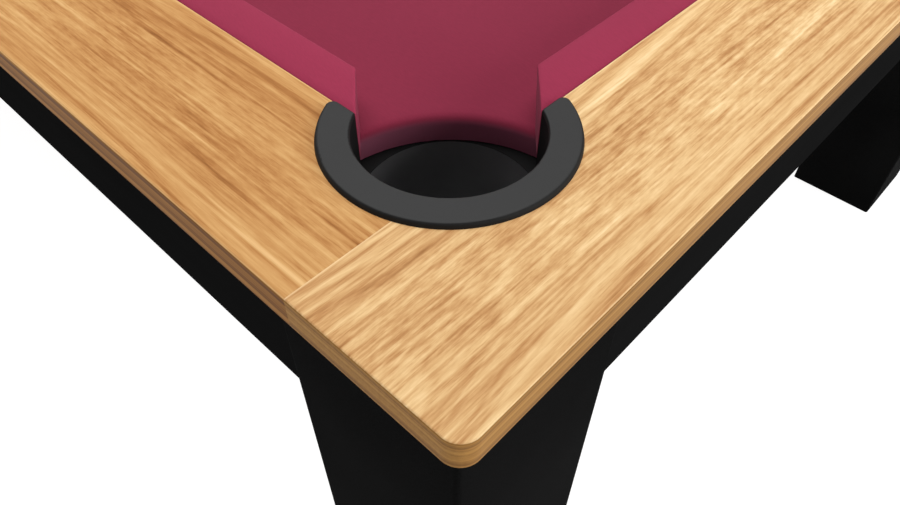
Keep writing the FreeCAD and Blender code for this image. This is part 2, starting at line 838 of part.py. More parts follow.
def make_aprons():
    """Four plain panels under the rails, between the legs."""
    level = ("underside - apron_height", "underside")
    inner_x, inner_y = "leg_x - leg_width", "leg_y - leg_width"
    side = block("side_apron", (f"-({inner_x})", inner_x), ("apron_y - apron_thickness", "apron_y"), level)
    keep_both(side, "apron", "far", "near", ACROSS_Y)
    end = block("end_apron", ("apron_x - apron_thickness", "apron_x"), (f"-({inner_y})", inner_y), level)
    keep_both(end, "apron", "foot", "head", ACROSS_X)


def leg_bolt_places():
    """Where the two bolts of a leg stand, along the end beam."""
    outer = "leg_y - leg_bolt_inset"
    return [("leg_bolt_x", outer), ("leg_bolt_x", outer + " - leg_bolt_pitch")]


def make_legs():
    """Square steel legs: four walls below the frame, and above it only the two outer walls."""
    inner_x, inner_y = "leg_x - leg_width", "leg_y - leg_width"
    outline = [(inner_x, inner_y), ("leg_x", inner_y), ("leg_x", "leg_y"), (inner_x, "leg_y")]
    body = prism("leg_blank", "XY_Plane", outline, "0", "underside")
    round_edges(body, "leg_arrises", "leg_corner_radius", lambda edge, ends: abs(ends[0].z - ends[1].z) > 1)
    walls = [
        (f"{inner_x} + leg_wall", "leg_x - leg_wall"),
        (f"{inner_y} + leg_wall", "leg_y - leg_wall"),
    ]
    base_room = block("leg_base_room", *walls, ("leg_base", "nut_plate_z"))
    long_room = block("leg_long_room", *walls, ("nut_plate_z + leg_nut_plate", "beam_bottom - leg_plate"))
    notch = block(
        "leg_notch",
        (f"{inner_x} - {ABOVE}", "leg_x - leg_wall"), (f"{inner_y} - {ABOVE}", "leg_y - leg_wall"),
        ("beam_bottom", f"underside + {ABOVE}"),
    )
    centre = ("leg_centre_x", "leg_centre_y")
    snug, bolt = "stud_radius + running_gap", "leg_bolt_radius + running_gap"
    pad_height = f"leg_base + {ABOVE} + {THROUGH}"
    nut_height = f"leg_base_gap + leg_nut_plate + {THROUGH}"
    plate = (f"beam_bottom - leg_plate - {THROUGH}", f"leg_plate + {2 * THROUGH}")
    holes = [
        rod("leg_pad_hole", *centre, f"-{ABOVE}", "pad_radius + pad_gap", pad_height),
        rod("leg_nut_hole", *centre, "leg_base", snug, nut_height),
        rod("leg_plate_hole_tool", *centre, plate[0], "leg_plate_hole", plate[1]),
    ]
    for number, (x, y) in enumerate(leg_bolt_places()):
        holes.append(rod(f"leg_bolt_hole_{number}", x, y, plate[0], bolt, plate[1]))
    keep_four(cut("leg", body, [base_room, long_room, notch, *holes]), "leg")


def make_frame():
    """Wooden beams under the slate: one across each end, two along, and one under each slate joint."""
    level = ("beam_bottom", "slate_bottom")
    across = ("-(end_beam_y)", "end_beam_y")
    end = block("end_beam_blank", ("end_beam_inside", "end_beam_x"), across, level)
    low, tall = f"beam_bottom - {ABOVE}", f"beam_height + {2 * ABOVE}"
    seat, deep = "slate_bottom - counterbore_depth", f"counterbore_depth + {ABOVE}"
    bores_up = []
    for number, (x, y) in enumerate(leg_bolt_places()):
        shank = rod(f"end_beam_hole_{number}", x, y, low, "leg_bolt_radius + running_gap", tall)
        sink = rod(f"end_beam_sink_{number}", x, y, seat, "counterbore_radius", deep)
        bores_up.append(fuse(f"end_beam_bore_{number}", [shank, sink]))
    near = mirror("end_beam_bores_near", group("end_beam_bores", bores_up), ACROSS_Y)
    keep_both(cut("end_beam", end, [*bores_up, near]), "end_beam", "foot", "head", ACROSS_X)

    along = ("-(end_beam_inside)", "end_beam_inside")
    long = block("long_beam_blank", along, ("long_beam_y - long_beam_width", "long_beam_y"), level)
    keep_both(cut("long_beam", long, [screw_holes]), "long_beam", "far", "near", ACROSS_Y)

    reach = "long_beam_y - long_beam_width"
    width = ("slate_joint - cross_beam_width / 2", "slate_joint + cross_beam_width / 2")
    cross = block("cross_beam", width, (f"-({reach})", reach), level)
    keep_both(cross, "cross_beam", "foot", "head", ACROSS_X)


def rail_bolt(name, x, y):
    """A hexagon bolt and its washer, under the slate and up into the rail."""
    washer_z = "slate_bottom - washer_thickness"
    washer = rod(name + "_washer", x, y, washer_z, "washer_radius", "washer_thickness")
    length = f"underside + bolt_depth - ({washer_z})"
    shank = rod(name + "_shank", x, y, washer_z, "bolt_radius", length)
    head = doc.addObject("Part::Prism", name + "_head")
    head.Polygon = 6
    bind(head, Circumradius="bolt_head_radius", Height="bolt_head_height")
    place(head, x, y, f"{washer_z} - bolt_head_height")
    return fuse(name, [washer, shank, head])


def make_fasteners():
    """Rail bolts, slate screws, leg bolts and pocket screws, each kind as one group of separate solids."""
    middle = [rail_bolt("rail_bolt_middle", *end_bolt_places()[0])]
    middle.append(mirror("rail_bolt_middle_head", middle[0], ACROSS_X))
    places = end_bolt_places()[1:] + side_bolt_places()
    others = [rail_bolt(f"rail_bolt_{n}", x, y) for n, (x, y) in enumerate(places)]
    keep(group("rail_bolts_all", [*middle, four_quarters("rail_bolts_sides", others)]), "rail_bolts")

    keep(screw_set("slate_screw", "0"), "slate_screws")

    bolts = []
    seat, tip = "slate_bottom - counterbore_depth", "beam_bottom - leg_plate - leg_bolt_end"
    length = f"{seat} + {THROUGH} - ({tip})"
    for number, (x, y) in enumerate(leg_bolt_places()):
        shank = rod(f"leg_bolt_shank_{number}", x, y, tip, "leg_bolt_radius", length)
        head = doc.addObject("Part::Prism", f"leg_bolt_head_{number}")
        head.Polygon = 6
        bind(head, Circumradius="leg_bolt_head_radius", Height="leg_bolt_head_height")
        place(head, x, y, seat)
        bolts.append(fuse(f"leg_bolt_{number}", [shank, head]))
    keep(four_quarters("leg_bolts_all", bolts), "leg_bolts")

    screws = [pocket_screws("corner", True), pocket_screws("side", False)]
    keep(group("pocket_screws_all", screws), "pocket_screws")


def pocket_screws(kind, corner):
    """The screws that hold the pocket cups to the rails."""
    screws = []
    for number, direction in enumerate(pin_directions(corner)):
        name = f"{kind}_pin_{number}"
        seat = "cup_radius - pin_seat_gap"
        shank = radial(
            name + "_shank", "Part::Cylinder", corner, direction, f"{seat} - pin_head_height / 2",
            Radius="pin_radius", Height="pin_length",
        )
        head = radial(
            name + "_head", "Part::Cone", corner, direction, f"{seat} - pin_head_height",
            Radius1="pin_head_radius - pin_head_taper", Radius2="pin_head_radius",
            Height="pin_head_height",
        )
        screws.append(fuse(name, [shank, head]))
    if corner:
        return four_quarters(f"{kind}_pins", screws)
    one_side = group(f"{kind}_pins_far", screws)
    return group(f"{kind}_pins", [one_side, mirror(f"{kind}_pins_near", one_side, ACROSS_Y)])


def make_levelling_feet():
    """Under each leg, a round pad on a threaded stud that screws up into the leg's nut plate."""
    socket = "stud_foot_radius + socket_gap"
    floor = "pad_thickness - socket_depth"
    pad = turned(
        "levelling_pad",
        [
            ("0", "0"),
            ("pad_radius - pad_chamfer", "0"),
            ("pad_radius", "pad_chamfer"),
            ("pad_radius", "pad_rim_height"),
            ("pad_boss_radius", "pad_thickness"),
            (socket, "pad_thickness"),
            (socket, floor),
            ("0", floor),
        ],
    )
    keep_four(place(pad, "leg_centre_x", "leg_centre_y", "pad_recess"), "levelling_pad")

    above_pad = "socket_depth + socket_gap"
    stud = turned(
        "stud_shaft",
        [
            ("0", "socket_gap"),
            ("stud_foot_radius", "socket_gap"),
            ("stud_foot_radius", above_pad),
            ("stud_radius", f"{above_pad} + stud_shoulder"),
            ("stud_radius", "stud_length - stud_chamfer"),
            ("stud_radius - stud_chamfer", "stud_length"),
            ("0", "stud_length"),
        ],
    )
    place(stud, "leg_centre_x", "leg_centre_y", f"pad_recess + {floor}")
    collar = doc.addObject("Part::Prism", "stud_collar")
    collar.Polygon = 6
    bind(collar, Circumradius="collar_radius", Height="collar_height")
    place(collar, "leg_centre_x", "leg_centre_y", "pad_recess + pad_thickness + socket_gap")
    keep_four(fuse("stud", [stud, collar]), "levelling_stud")


def check_objects():
    """Stop if any object failed, or if any sub-part is empty or not valid."""
    for item in doc.Objects:
        if "Invalid" in item.State or "Error" in item.State:
            raise RuntimeError(f"{item.Label} failed: {item.State}")
    for label, piece in sub_parts.items():
        if piece.Shape.isNull() or not piece.Shape.isValid() or not piece.Shape.Solids:
            raise RuntimeError(f"{label} has no valid solid")


bores = {
    "corner": pocket_bore("corner_bore", "corner_x", "corner_y"),
    "side": pocket_bore("side_bore", "0", "side_y"),
}
screw_holes = screw_set("slate_screw_hole", "running_gap")
make_top_rails()
make_subrails_and_cushions()
make_bed()
make_pockets()
make_aprons()
make_legs()
make_frame()
make_fasteners()
make_levelling_feet()

doc.recompute()
check_objects()
os.makedirs("parts", exist_ok=True)
for label, piece in sub_parts.items():
    piece.Shape.exportStep(f"parts/{label}.step")
    print(f"{label}: {len(piece.Shape.Solids)} solids, {piece.Shape.Volume / 1000:.1f} cm3")
print(len(sub_parts), "sub-parts")
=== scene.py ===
# %% [markdown]
# # A pool table with an oak rail, crimson cloth and black legs
#
# The table is already modelled as hard parts: rails, slates, rings, cups, legs and beams. This lesson
# loads those parts as a frame that never moves, and gives each one a finish. It then makes the parts
# that are soft on the real table, the bed cloth and the six covered cushions, as meshes of their own.

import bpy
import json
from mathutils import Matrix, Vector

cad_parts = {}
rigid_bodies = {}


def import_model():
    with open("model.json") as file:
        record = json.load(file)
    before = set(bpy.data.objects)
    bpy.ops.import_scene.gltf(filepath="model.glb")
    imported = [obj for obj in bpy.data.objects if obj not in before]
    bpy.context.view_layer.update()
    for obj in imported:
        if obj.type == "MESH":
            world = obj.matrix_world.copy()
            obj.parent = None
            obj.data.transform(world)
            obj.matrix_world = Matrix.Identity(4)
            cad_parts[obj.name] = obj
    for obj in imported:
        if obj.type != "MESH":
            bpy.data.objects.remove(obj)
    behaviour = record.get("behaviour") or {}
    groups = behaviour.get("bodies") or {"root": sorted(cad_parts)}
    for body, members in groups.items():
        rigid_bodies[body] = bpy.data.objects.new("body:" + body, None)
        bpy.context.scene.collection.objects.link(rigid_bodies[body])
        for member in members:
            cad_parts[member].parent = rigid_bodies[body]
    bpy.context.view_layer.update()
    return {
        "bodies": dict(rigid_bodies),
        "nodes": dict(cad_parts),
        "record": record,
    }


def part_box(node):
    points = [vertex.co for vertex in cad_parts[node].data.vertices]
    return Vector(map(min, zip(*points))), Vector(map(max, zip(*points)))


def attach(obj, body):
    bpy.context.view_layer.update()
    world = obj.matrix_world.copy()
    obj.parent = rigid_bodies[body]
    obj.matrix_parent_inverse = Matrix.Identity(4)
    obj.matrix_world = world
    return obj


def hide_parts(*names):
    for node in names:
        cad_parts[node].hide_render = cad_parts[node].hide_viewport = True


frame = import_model()
print("hard parts:", len(frame["nodes"]), "bodies:", len(frame["bodies"]))

# %% [markdown]
# ## The camera
#
# The camera comes first, because every later choice of scale and detail depends on how near we stand.
# It looks down steeply on one corner pocket, from a little outside the corner. A camera points along
# its own -Z axis, so we give the direction it looks in and let Blender work out the rotation. A last
# small turn about that direction is the roll of a hand-held shot.

# %% Stand over the corner
import json
import math

import bpy
from mathutils import Quaternion, Vector

MM = 0.001
heading = math.radians(43.75)
pitch = math.radians(48.4)
roll = math.radians(-0.2)

looks_along = Vector((
    -math.sin(heading) * math.cos(pitch),
    math.cos(heading) * math.cos(pitch),
    -math.sin(pitch),
))
camera_data = bpy.data.cameras.new("camera")
camera_data.lens = 29.86
camera_data.sensor_width = 36
camera_data.shift_x = 0.0013
camera_data.shift_y = -0.0032
camera = bpy.data.objects.new("camera", camera_data)
bpy.context.scene.collection.objects.link(camera)
bpy.context.scene.camera = camera
camera.location = (1.37995, -0.83195, 1.100)
camera.rotation_mode = "QUATERNION"
camera.rotation_quaternion = looks_along.to_track_quat("-Z", "Y") @ Quaternion((0, 0, 1), roll)
print("the camera looks along", [round(part, 3) for part in looks_along])

# %% [markdown]
# ## A plain studio
#
# A product is easiest to judge on a pale floor under broad, soft lights. One wide lamp overhead does
# most of the work. A second, off the foot end, is what makes the right-hand faces lighter than the
# left-hand ones. The world behind them is white along the horizon, as a studio's wall is, so that the
# floor runs into it without an edge. Higher up it is nearly dark: light from everywhere has no
# direction, and too much of it would flatten the corner.

# %% Set up the world and the lamps
scene = bpy.context.scene
scene.view_settings.view_transform = "Standard"
scene.view_settings.look = "None"

world = bpy.data.worlds.new("white_horizon")
world.use_nodes = True
sky = world.node_tree.nodes
upwards = sky.new("ShaderNodeSeparateXYZ")
fade = sky.new("ShaderNodeMapRange")
fade.interpolation_type = "SMOOTHSTEP"
fade.inputs["From Min"].default_value = 0.25
fade.inputs["From Max"].default_value = 0.40
fade.inputs["To Min"].default_value = 1.0
fade.inputs["To Max"].default_value = 0.05
world.node_tree.links.new(sky.new("ShaderNodeTexCoord").outputs["Generated"], upwards.inputs["Vector"])
world.node_tree.links.new(upwards.outputs["Z"], fade.inputs["Value"])
world.node_tree.links.new(fade.outputs["Result"], sky["Background"].inputs["Strength"])
sky["Background"].inputs["Color"].default_value = (1.0, 1.0, 1.0, 1.0)
scene.world = world


def softbox(name, stands_at, aims_at, size, power):
    """A square lamp of that size in metres, turned towards a point."""
    lamp = bpy.data.lights.new(name, "AREA")
    lamp.shape = "SQUARE"
    lamp.size = size
    lamp.energy = power
    lamp_object = bpy.data.objects.new(name, lamp)
    scene.collection.objects.link(lamp_object)
    lamp_object.location = stands_at
    turn = Vector(aims_at) - Vector(stands_at)
    lamp_object.rotation_euler = turn.to_track_quat("-Z", "Y").to_euler()
    print(name, "of", size, "m at", stands_at)


softbox("overhead_softbox", (0.2, 0.1, 3.4), (0.2, 0.0, 0.0), 3.2, 114)
softbox("foot_end_softbox", (4.2, 0.9, 1.9), (0.8, 0.0, 0.6), 2.4, 90)

# %% [markdown]
# ## Shader maths that reads like arithmetic
#
# Procedural finishes are mostly arithmetic on a few noises. Adding Math nodes by hand hides the sum, so
# one small class wraps an output socket and lets Python's own operators add the nodes. Everything that
# isn't arithmetic goes through one method that takes a node's type, its settings, and its sockets.

# %% Wires and finishes
class Wire:
    """An output socket of a finish, on which + - * / and ** add Math nodes."""

    def __init__(self, finish, node, socket):
        self.finish = finish
        self.node = node
        self.socket = socket

    def __getitem__(self, name):
        return Wire(self.finish, self.node, self.node.outputs[name])

    def math(self, operation, first, second):
        return self.finish.node("ShaderNodeMath", {"operation": operation}, {0: first, 1: second})

    def __add__(self, other):
        return self.math("ADD", self, other)

    def __radd__(self, other):
        return self.math("ADD", other, self)

    def __sub__(self, other):
        return self.math("SUBTRACT", self, other)

    def __rsub__(self, other):
        return self.math("SUBTRACT", other, self)

    def __mul__(self, other):
        return self.math("MULTIPLY", self, other)

    def __rmul__(self, other):
        return self.math("MULTIPLY", other, self)

    def __pow__(self, other):
        return self.math("POWER", self, other)

    def __abs__(self):
        return self.math("ABSOLUTE", self, 0.0)

    def step(self, low, high):
        """0 below low, 1 above high, and a smooth rise between. low may be the larger, for a fall."""
        settings = {"interpolation_type": "SMOOTHSTEP"}
        sockets = {"Value": self, "From Min": low, "From Max": high}
        return self.finish.node("ShaderNodeMapRange", settings, sockets)


class Finish:
    """One material: its nodes, and the Principled shader that they feed."""

    def __init__(self, name):
        self.material = bpy.data.materials.new(name)
        self.material.use_nodes = True
        self.tree = self.material.node_tree
        self.shader = self.tree.nodes["Principled BSDF"]

    def node(self, kind, settings, sockets):
        """Adds a node, sets it up, then gives its sockets their values or links."""
        made = self.tree.nodes.new(kind)
        for name, value in settings.items():
            if name == "stops":
                self.set_stops(made.color_ramp, value)
            else:
                setattr(made, name, value)
        for name, value in sockets.items():
            self.fill(made.inputs[name], value)
        shown = [socket for socket in made.outputs if socket.enabled]
        return Wire(self, made, shown[0])

    def fill(self, socket, value):
        if isinstance(value, Wire):
            self.tree.links.new(value.socket, socket)
        else:
            socket.default_value = value

    def set_stops(self, ramp, stops):
        while len(ramp.elements) < len(stops):
            ramp.elements.new(1.0)
        for element, (position, colour) in zip(ramp.elements, stops):
            element.position = position
            element.color = colour

    def place(self):
        """Where a point of the surface is, in metres, in the table's own frame."""
        return self.node("ShaderNodeTexCoord", {}, {})["Object"]

    def facing(self):
        """The direction that the surface faces, as three numbers."""
        normal = self.node("ShaderNodeTexCoord", {}, {})["Normal"]
        return self.node("ShaderNodeSeparateXYZ", {}, {"Vector": normal})

    def split(self, vector):
        return self.node("ShaderNodeSeparateXYZ", {}, {"Vector": vector})

    def join(self, x, y, z):
        return self.node("ShaderNodeCombineXYZ", {}, {"X": x, "Y": y, "Z": z})

    def stretched(self, vector, scale):
        """A vector with each of its parts multiplied, so that a noise on it comes out drawn long."""
        settings = {"operation": "MULTIPLY"}
        return self.node("ShaderNodeVectorMath", settings, {0: vector, 1: scale})

    def noise(self, vector, scale=1.0, detail=2.0, roughness=0.5):
        sockets = {"Vector": vector, "Scale": scale, "Detail": detail, "Roughness": roughness}
        return self.node("ShaderNodeTexNoise", {}, sockets)

    def noise_along(self, distance, scale=1.0, detail=2.0, roughness=0.5):
        """Noise in one dimension, such as dark and light rings counted outwards from the heart."""
        sockets = {"W": distance, "Scale": scale, "Detail": detail, "Roughness": roughness}
        return self.node("ShaderNodeTexNoise", {"noise_dimensions": "1D"}, sockets)

    def mix(self, factor, first, second, blend="MIX"):
        settings = {"data_type": "RGBA", "blend_type": blend}
        return self.node("ShaderNodeMix", settings, {0: factor, 6: first, 7: second})

    def ramp(self, value, stops):
        return self.node("ShaderNodeValToRGB", {"stops": stops}, {"Fac": value})

    def bumps(self, height, distance, strength=1.0):
        """A normal that looks as if the surface rose by up to that distance."""
        sockets = {"Height": height, "Distance": distance, "Strength": strength}
        return self.node("ShaderNodeBump", {}, sockets)

    def surface(self, **sockets):
        """Fills the shader's sockets, written with _ for the spaces in their names."""
        for name, value in sockets.items():
            self.fill(self.shader.inputs[name.replace("_", " ")], value)
        print("finish:", self.material.name, "with", len(self.tree.nodes), "nodes")
        return self.material


def paint(red, green, blue):
    """A colour given as 0 to 255, turned into the linear numbers that a shader works in."""
    shares = [part / 255 for part in (red, green, blue)]
    linear = [
        share / 12.92 if share <= 0.04045 else ((share + 0.055) / 1.055) ** 2.4
        for share in shares
    ]
    return (*linear, 1.0)


def dress(finish, nodes):
    """Gives hard parts a finish, in every material slot they have."""
    for name in nodes:
        part = frame["nodes"][name]
        for slot in part.material_slots:
            slot.link = "OBJECT"
            slot.material = finish
    print(finish.name, "on", len(nodes), "parts")


# %% [markdown]
# ## The floor
#
# The floor is one wide, flat, pale sheet. Real studio paper is never perfectly even, so it gets a very
# faint mottle. It also gives off some light of its own, as a sheet lit from below does, so that it
# comes out white and throws light up on the aprons. It is not part of the table.

# %% Lay the floor
FLOOR_HALF = 40.0
floor_mesh = bpy.data.meshes.new("studio_floor")
floor_corners = [
    (x * FLOOR_HALF, y * FLOOR_HALF, 0)
    for x, y in ((-1, -1), (1, -1), (1, 1), (-1, 1))
]
floor_mesh.from_pydata(floor_corners, [], [(0, 1, 2, 3)])
floor = bpy.data.objects.new("studio_floor", floor_mesh)
scene.collection.objects.link(floor)
paper = Finish("studio_paper")
mottle = paper.noise(paper.place(), scale=3.0)
floor_mesh.materials.append(paper.surface(
    Base_Color=paper.mix(mottle, (0.28, 0.28, 0.28, 1), (0.31, 0.31, 0.31, 1)),
    Roughness=0.95,
    Emission_Color=(1.0, 1.0, 1.0, 1.0),
    Emission_Strength=0.92,
))

# %% [markdown]
# ## Oak for the top rails
#
# A plank shows the tree's yearly rings cut lengthwise. Over the heart line the cut runs almost along
# the rings, which gives wide arches and mottled flecks; towards the board's edges it crosses them
# steeply, which gives close straight lines. Both come from one sum: the distance of each point from the
# tree's heart line, which lies a little below the board and drifts as the tree grew. A noise in one
# dimension over that distance makes rings of uneven width. Then come broad strips of tone, short
# flecks, long fibres, and a few dark and cream streaks that stand out on their own.
#
# Every noise is centred on zero before it is weighed, so a weight only says how much a layer shows and
# never moves the board's own tone. Every board has its own seed, mottle and warmth, because boards come
# from different trees.

# %% The oak's colours
OAK_DARK = paint(150, 104, 62)
OAK_STREAK = paint(182, 134, 86)
OAK_BODY = paint(204, 162, 111)
OAK_PALE = paint(219, 183, 132)
OAK_CREAM = paint(237, 207, 160)
HONEY = (0.83, 0.70, 0.55, 1.0)
BOARD_MIDDLE = 0.788

# %% The oak finish
def oak(name, lengthwise, middle, seed, mottle, warmth):
    """Oak with its grain along X or Y. Middle is the board's centre line, in metres off the table's."""
    wood = Finish(name)
    point = wood.split(wood.place())
    length, across = (point["X"], point["Y"]) if lengthwise == "X" else (point["Y"], point["X"])
    height = point["Z"] - BOARD_MIDDLE
    seeded = wood.join(length + seed, across, height)

    sideways = (wood.noise(seeded, scale=1.7, detail=1.0) - 0.5) * 0.09
    swell = (wood.noise_along(length + seed, scale=1.4) - 0.5) * 0.08
    from_middle = abs(across) - middle
    beside = from_middle + sideways
    below = 0.050 + swell - height
    distance = (beside * beside + below * below) ** 0.5
    ripple = wood.noise(wood.stretched(seeded, (9.0, 60.0, 60.0))) - 0.5
    rings = wood.noise_along(distance + ripple * 0.005 + seed, scale=150.0, detail=3.0, roughness=0.62) - 0.5

    broad = wood.noise(wood.stretched(seeded, (2.4, 30.0, 30.0))) - 0.5
    fleck = wood.noise(wood.stretched(seeded, (64.0, 300.0, 300.0)), detail=3.0, roughness=0.62) - 0.5
    fibre = wood.noise(wood.stretched(seeded, (8.0, 360.0, 360.0)), detail=3.0, roughness=0.62) - 0.5
    streak = wood.noise(wood.stretched(seeded, (4.0, 120.0, 120.0)))
    to_edge = abs(from_middle).step(0.012, 0.055)
    tone = (
        0.5
        + broad * 0.30
        + rings * (0.14 + to_edge * 0.24)
        + fleck * mottle * (1.0 - to_edge * 0.6)
        + fibre * 0.40
        - streak.step(0.58, 0.72) * 0.09
        + streak.step(0.42, 0.28) * 0.08
    )
    pores = wood.noise(wood.stretched(seeded, (60.0, 1300.0, 1300.0)), detail=1.0).step(0.60, 0.72)
    grain = tone - pores * 0.04

    plank = wood.ramp(grain, [
        (0.30, OAK_DARK), (0.41, OAK_STREAK), (0.50, OAK_BODY), (0.58, OAK_PALE), (0.70, OAK_CREAM),
    ])
    # A thin cream line along both long edges of the board: a painted highlight where the rounded arris would
    # catch the light.
    painted_arris_highlight = abs(from_middle).step(0.0607, 0.0616) * 0.55
    plank_with_painted_highlight = wood.mix(painted_arris_highlight, plank, OAK_CREAM)
    honey = wood.mix(warmth, plank_with_painted_highlight, HONEY, blend="MULTIPLY")

    # The sides of the board carry the wood's own grain lines along their length, but in colours much darker
    # than the top's: painted shade on the side faces.
    wander = wood.noise(wood.stretched(seeded, (5.0, 5.0, 30.0))) - 0.5
    lines = wood.noise_along(height + wander * 0.006 + seed, scale=190.0, roughness=0.6)
    side_band_painted_shade = wood.ramp(lines * 0.8 + (fibre + 0.5) * 0.2, [
        (0.32, paint(108, 72, 34)), (0.48, paint(141, 100, 50)), (0.64, paint(166, 123, 64)),
    ])
    honeyed_side_band_painted_shade = wood.mix(warmth, side_band_painted_shade, HONEY, blend="MULTIPLY")
    # Faces that point up or down take the top's colour; all other faces take the darker side band, which is
    # painted shade.
    on_top = abs(wood.facing()["Z"]).step(0.45, 0.80)
    return wood.surface(
        Base_Color=wood.mix(on_top, honeyed_side_band_painted_shade, honey),
        Roughness=0.44 + (1 - tone) * 0.14,
        Specular_IOR_Level=0.03,
        Normal=wood.bumps(grain, 0.0002, 0.5),
    )


# %% Oak on the six rail boards
SIDE_MIDDLE = 0.660
END_MIDDLE = 1.220
boards = {
    "top_rail_foot": ("Y", END_MIDDLE, 11.6, 0.40, 0.00),
    "top_rail_head": ("Y", END_MIDDLE, 9.1, 0.32, 0.30),
    "top_rail_near_foot": ("X", SIDE_MIDDLE, 5.3, 0.26, 0.95),
    "top_rail_near_head": ("X", SIDE_MIDDLE, 14.2, 0.32, 0.55),
    "top_rail_far_foot": ("X", SIDE_MIDDLE, 21.4, 0.38, 0.35),
    "top_rail_far_head": ("X", SIDE_MIDDLE, 27.9, 0.30, 0.70),
}
for board, (lengthwise, middle, seed, mottle, warmth) in boards.items():
    dress(oak("oak_" + board, lengthwise, middle, seed, mottle, warmth), [board])

# %% [markdown]
# ## Black parts
#
# Four blacks stand side by side here, and only their surface tells them apart. The legs are powder
# coated, which dries to a fine grain. The aprons are lacquered smooth. The pocket rings are moulded in
# a satin plastic, and the cups below them in a matt one that drinks the light. The legs and aprons look
# straight at a white floor, which would grey them, so their shine is turned almost off. Under darker
# surroundings a higher Specular IOR Level would be nearer to real lacquer.

# %% Powder coat, lacquer and plastics
def powder_coat():
    coat = Finish("textured_powder_coat")
    place = coat.place()
    grain = coat.noise(place, scale=900.0, detail=2.0, roughness=0.6)
    cloudy = coat.noise(place, scale=6.0, detail=2.0)
    tone = grain * 0.7 + cloudy * 0.3
    return coat.surface(
        Base_Color=coat.ramp(tone, [(0.35, paint(6, 6, 6)), (0.65, paint(18, 18, 18))]),
        Roughness=0.62 + grain * 0.2,
        Specular_IOR_Level=0.003,
        Normal=coat.bumps(grain, 0.00015, 0.7),
    )


def lacquer():
    coat = Finish("satin_black_lacquer")
    place = coat.place()
    level = coat.noise(coat.stretched(place, (6.0, 6.0, 40.0)), detail=3.0)
    return coat.surface(
        Base_Color=coat.mix(level, paint(18, 18, 18), paint(23, 23, 23)),
        Roughness=0.46 + level * 0.1,
        Specular_IOR_Level=0.0,
        Normal=coat.bumps(level, 0.0001, 0.3),
    )


def ring_plastic():
    """Satin moulded plastic. Its sides are matter than its top, and painted darker than it as painted shade.
    """
    plastic = Finish("satin_ring_plastic")
    place = plastic.place()
    spark = plastic.noise(place, scale=1500.0, detail=1.0)
    flow = plastic.noise(place, scale=14.0)
    top = plastic.mix(flow * 0.6 + spark * 0.4, paint(35, 35, 35), paint(41, 41, 41))
    # The sides get a much darker colour than the top: painted shade, chosen by which way the surface faces.
    upwards = plastic.facing()["Z"].step(0.82, 0.995)
    return plastic.surface(
        Base_Color=plastic.mix(upwards, paint(12, 12, 12), top),
        Roughness=0.66 - upwards * 0.16 + spark * 0.12,
        Specular_IOR_Level=0.25,
        Normal=plastic.bumps(spark, 0.00006, 0.5),
    )


def cup_plastic():
    """Matt moulded plastic: black on the liner and the flange, and painted a lighter grey down in the cup,
    as painted light.
    """
    plastic = Finish("matt_cup_plastic")
    place = plastic.place()
    spark = plastic.noise(place, scale=1500.0, detail=1.0)
    cup_mottle = plastic.noise(place, scale=22.0, detail=3.0)
    # Below the flange the cup is painted a much lighter grey: painted light, standing in for light that
    # hardly reaches down there.
    painted_light_in_cup = plastic.mix(cup_mottle, paint(84, 84, 85), paint(112, 112, 113))
    in_cup = plastic.split(place)["Z"].step(0.7399, 0.7394)
    return plastic.surface(
        Base_Color=plastic.mix(in_cup, paint(21, 21, 21), painted_light_in_cup),
        Roughness=0.70 + spark * 0.12,
        Specular_IOR_Level=0.08,
        Normal=plastic.bumps(spark, 0.00006, 0.5),
    )


record = frame["record"]
in_slot = {}
for subpart in record["subparts"]:
    in_slot.setdefault(subpart["material_slot"], []).append(subpart["node"])
dress(powder_coat(), in_slot["leg_powder_coat"])
dress(lacquer(), in_slot["apron_lacquer"])
dress(ring_plastic(), in_slot["ring_plastic"])
dress(cup_plastic(), in_slot["cup_plastic"])

# %% [markdown]
# ## What is under the cloth
#
# The slates, the softwood frame and the fixings are only seen from below or from the side, but anyone
# who turns the table over looks straight at them. Slate is a split stone, so its tone is drawn out in
# soft layers. The timber is a plain, pale softwood with wider, quieter rings than the oak. Zinc plating
# is grey with a slight cloudiness, and the pocket screws are blackened.

# %% Slate, softwood and steel
def slate():
    stone = Finish("honed_slate")
    place = stone.place()
    layers = stone.noise(stone.stretched(place, (4.0, 7.0, 160.0)), detail=4.0, roughness=0.6)
    dust = stone.noise(place, scale=420.0, detail=2.0)
    tones = [(0.3, (0.030, 0.034, 0.040, 1)), (0.7, (0.085, 0.090, 0.098, 1))]
    return stone.surface(
        Base_Color=stone.ramp(layers * 0.75 + dust * 0.25, tones),
        Roughness=0.55 + dust * 0.2,
        Normal=stone.bumps(layers, 0.0004, 0.5),
    )


def softwood(name, lengthwise, seed):
    wood = Finish(name)
    point = wood.split(wood.place())
    length, across = (point["X"], point["Y"]) if lengthwise == "X" else (point["Y"], point["X"])
    seeded = wood.join(length + seed, across, point["Z"])
    drift = wood.noise(wood.stretched(seeded, (1.6, 9.0, 9.0)), detail=2.0) - 0.5
    rings = wood.noise_along(across + point["Z"] * 0.7 + drift * 0.05 + seed, scale=95.0, detail=2.0)
    fibre = wood.noise(wood.stretched(seeded, (14.0, 380.0, 380.0)), detail=2.0)
    tone = rings * 0.7 + fibre * 0.3
    tones = [(0.34, paint(188, 146, 98)), (0.5, paint(212, 176, 128)), (0.68, paint(226, 196, 150))]
    return wood.surface(
        Base_Color=wood.ramp(tone, tones),
        Roughness=0.62 + fibre * 0.15,
        Normal=wood.bumps(tone, 0.0003, 0.5),
    )


def plated_steel(name, dark, pale, roughness):
    steel = Finish(name)
    place = steel.place()
    cloudy = steel.noise(place, scale=160.0, detail=3.0)
    return steel.surface(
        Base_Color=steel.mix(cloudy, dark, pale),
        Metallic=1.0,
        Roughness=roughness + cloudy * 0.18,
        Normal=steel.bumps(cloudy, 0.00004, 0.4),
    )


